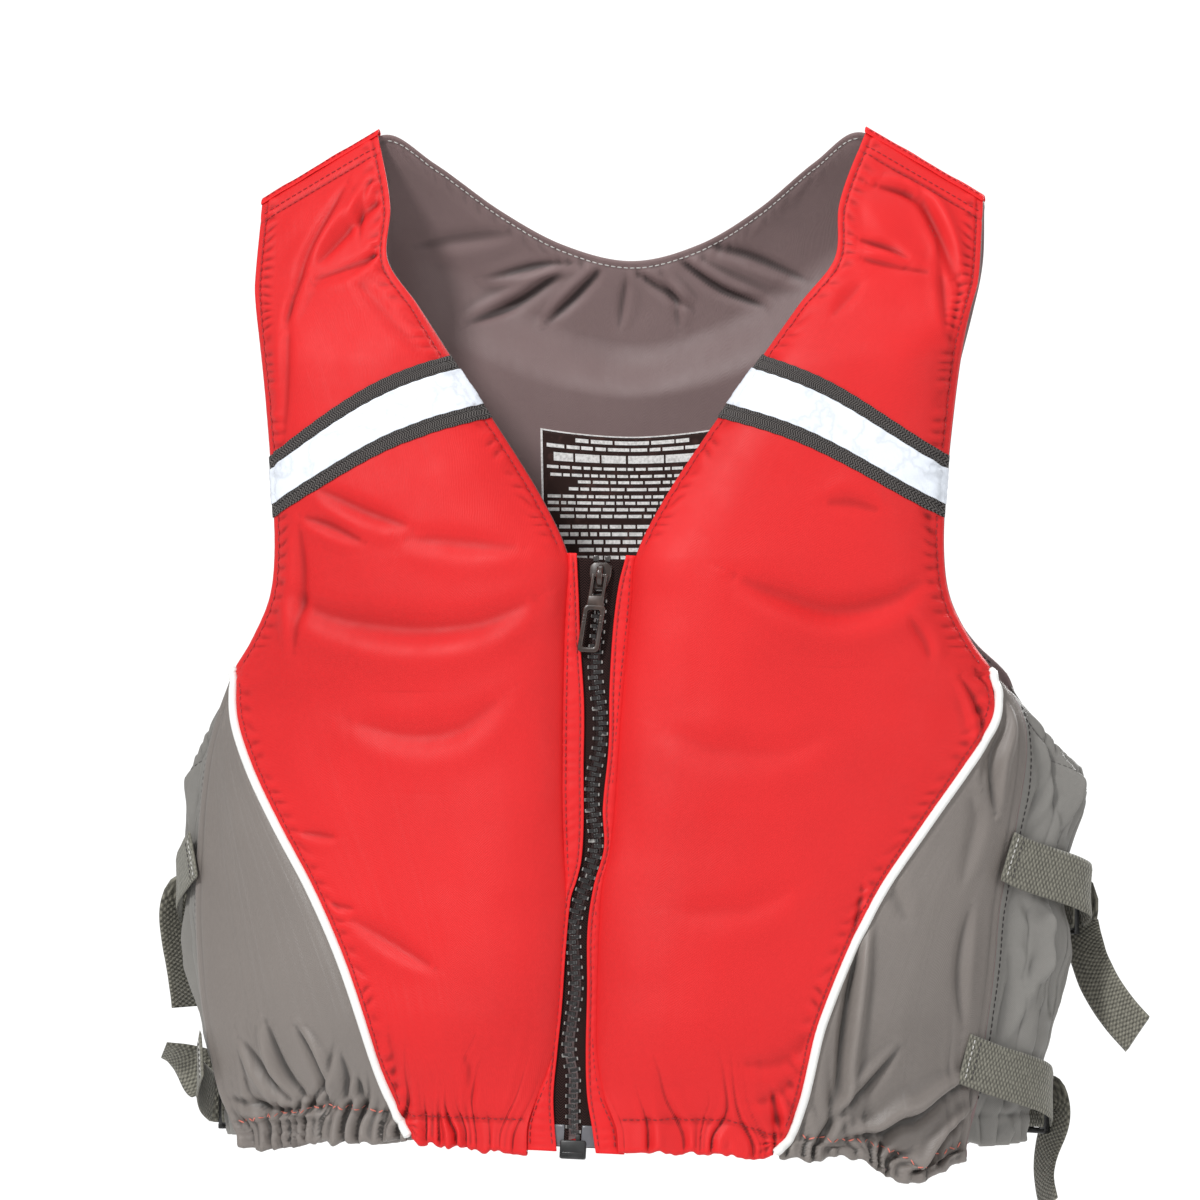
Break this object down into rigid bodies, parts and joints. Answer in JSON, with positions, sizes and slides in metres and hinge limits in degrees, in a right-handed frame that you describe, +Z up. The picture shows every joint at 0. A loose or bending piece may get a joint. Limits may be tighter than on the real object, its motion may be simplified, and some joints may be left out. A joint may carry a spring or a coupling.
{
  "type": "life jacket",
  "caption": "Padded zip-front paddling life jacket with foam-filled front and back panels, reflective chest stripes and webbing side straps with buckles.",
  "frame": {"origin": "the hanger rest: midway between the two shoulders, just under the shoulder straps, on the zip's plane of symmetry", "axes": "+Z up, -Y out of the zipped front, +X toward the wearer's left side"},
  "size_m": [0.5006, 0.1883, 0.5376],
  "materials": {
    "red_nylon": "satin",
    "grey_nylon": "satin",
    "lining": "satin",
    "foam": "matte",
    "reflective": "satin",
    "stripe_tape": "matte",
    "label_print": "matte",
    "elastic": "matte",
    "zip_tape": "matte",
    "black_plastic": "satin",
    "webbing": "matte"
  },
  "bodies": {
    "vest": {"front_shell_left": "red_nylon", "front_shell_right": "red_nylon", "side_panel_left": "grey_nylon", "side_panel_right": "grey_nylon", "front_lining_left": "lining", "front_lining_right": "lining", "foam_front_left_outer": "foam", "foam_front_left_middle": "foam", "foam_front_left_inner": "foam", "foam_front_right_outer": "foam", "foam_front_right_middle": "foam", "foam_front_right_inner": "foam", "piping_left": "reflective", "piping_right": "reflective", "stripe_tape_left": "stripe_tape", "stripe_tape_right": "stripe_tape", "reflective_left": "reflective", "reflective_right": "reflective", "zip_facing_left": "red_nylon", "zip_facing_right": "red_nylon", "zipper_tape_left": "zip_tape", "zipper_tape_right": "zip_tape", "zipper_teeth_left": "black_plastic", "zipper_teeth_right": "black_plastic", "zipper_top_stops": "black_plastic", "zipper_box": "black_plastic", "back_shell": "red_nylon", "back_side_left": "grey_nylon", "back_side_right": "grey_nylon", "back_lining": "lining", "foam_back_outer": "foam", "foam_back_middle": "foam", "foam_back_inner": "foam", "printed_label": "label_print", "gusset_left": "grey_nylon", "gusset_right": "grey_nylon", "hem_elastic_left": "elastic", "hem_elastic_right": "elastic", "hem_elastic_back": "elastic", "shoulder_seam_left": "red_nylon", "shoulder_seam_right": "red_nylon", "strap_left_upper": "webbing", "strap_left_lower": "webbing", "strap_right_upper": "webbing", "strap_right_lower": "webbing", "anchor_left_upper": "webbing", "anchor_left_lower": "webbing", "anchor_right_upper": "webbing", "anchor_right_lower": "webbing"},
    "slider": {"zipper_slider": "black_plastic"},
    "pull": {"zipper_pull": "black_plastic"},
    "buckle_left_upper": {"lock_left_upper": "black_plastic", "tail_left_upper": "webbing"},
    "buckle_left_lower": {"lock_left_lower": "black_plastic", "tail_left_lower": "webbing"},
    "buckle_right_upper": {"lock_right_upper": "black_plastic", "tail_right_upper": "webbing"},
    "buckle_right_lower": {"lock_right_lower": "black_plastic", "tail_right_lower": "webbing"}
  },
  "joints": [
    {"name": "zip_slide", "type": "slide", "parent": "vest", "child": "slider", "axis": [-0.0412, -0.0892, -0.9952], "range_m": [0, 0.25]},
    {"name": "pull_hinge", "type": "hinge", "parent": "slider", "child": "pull", "pos_m": [-0.00035, -0.07568, -0.19643], "axis": [-0.9991, 0, 0.0413], "range_deg": [0, 150]},
    {"name": "buckle_left_upper_tilt", "type": "hinge", "parent": "vest", "child": "buckle_left_upper", "pos_m": [0.2075, 0.05, -0.358], "axis": [0, 0, 1], "range_deg": [0, 25]},
    {"name": "buckle_left_lower_tilt", "type": "hinge", "parent": "vest", "child": "buckle_left_lower", "pos_m": [0.192, 0.054, -0.457], "axis": [0, 0, 1], "range_deg": [0, 25]},
    {"name": "buckle_right_upper_tilt", "type": "hinge", "parent": "vest", "child": "buckle_right_upper", "pos_m": [-0.2075, 0.05, -0.358], "axis": [0, 0, -1], "range_deg": [0, 25]},
    {"name": "buckle_right_lower_tilt", "type": "hinge", "parent": "vest", "child": "buckle_right_lower", "pos_m": [-0.192, 0.054, -0.457], "axis": [0, 0, -1], "range_deg": [0, 25]}
  ]
}
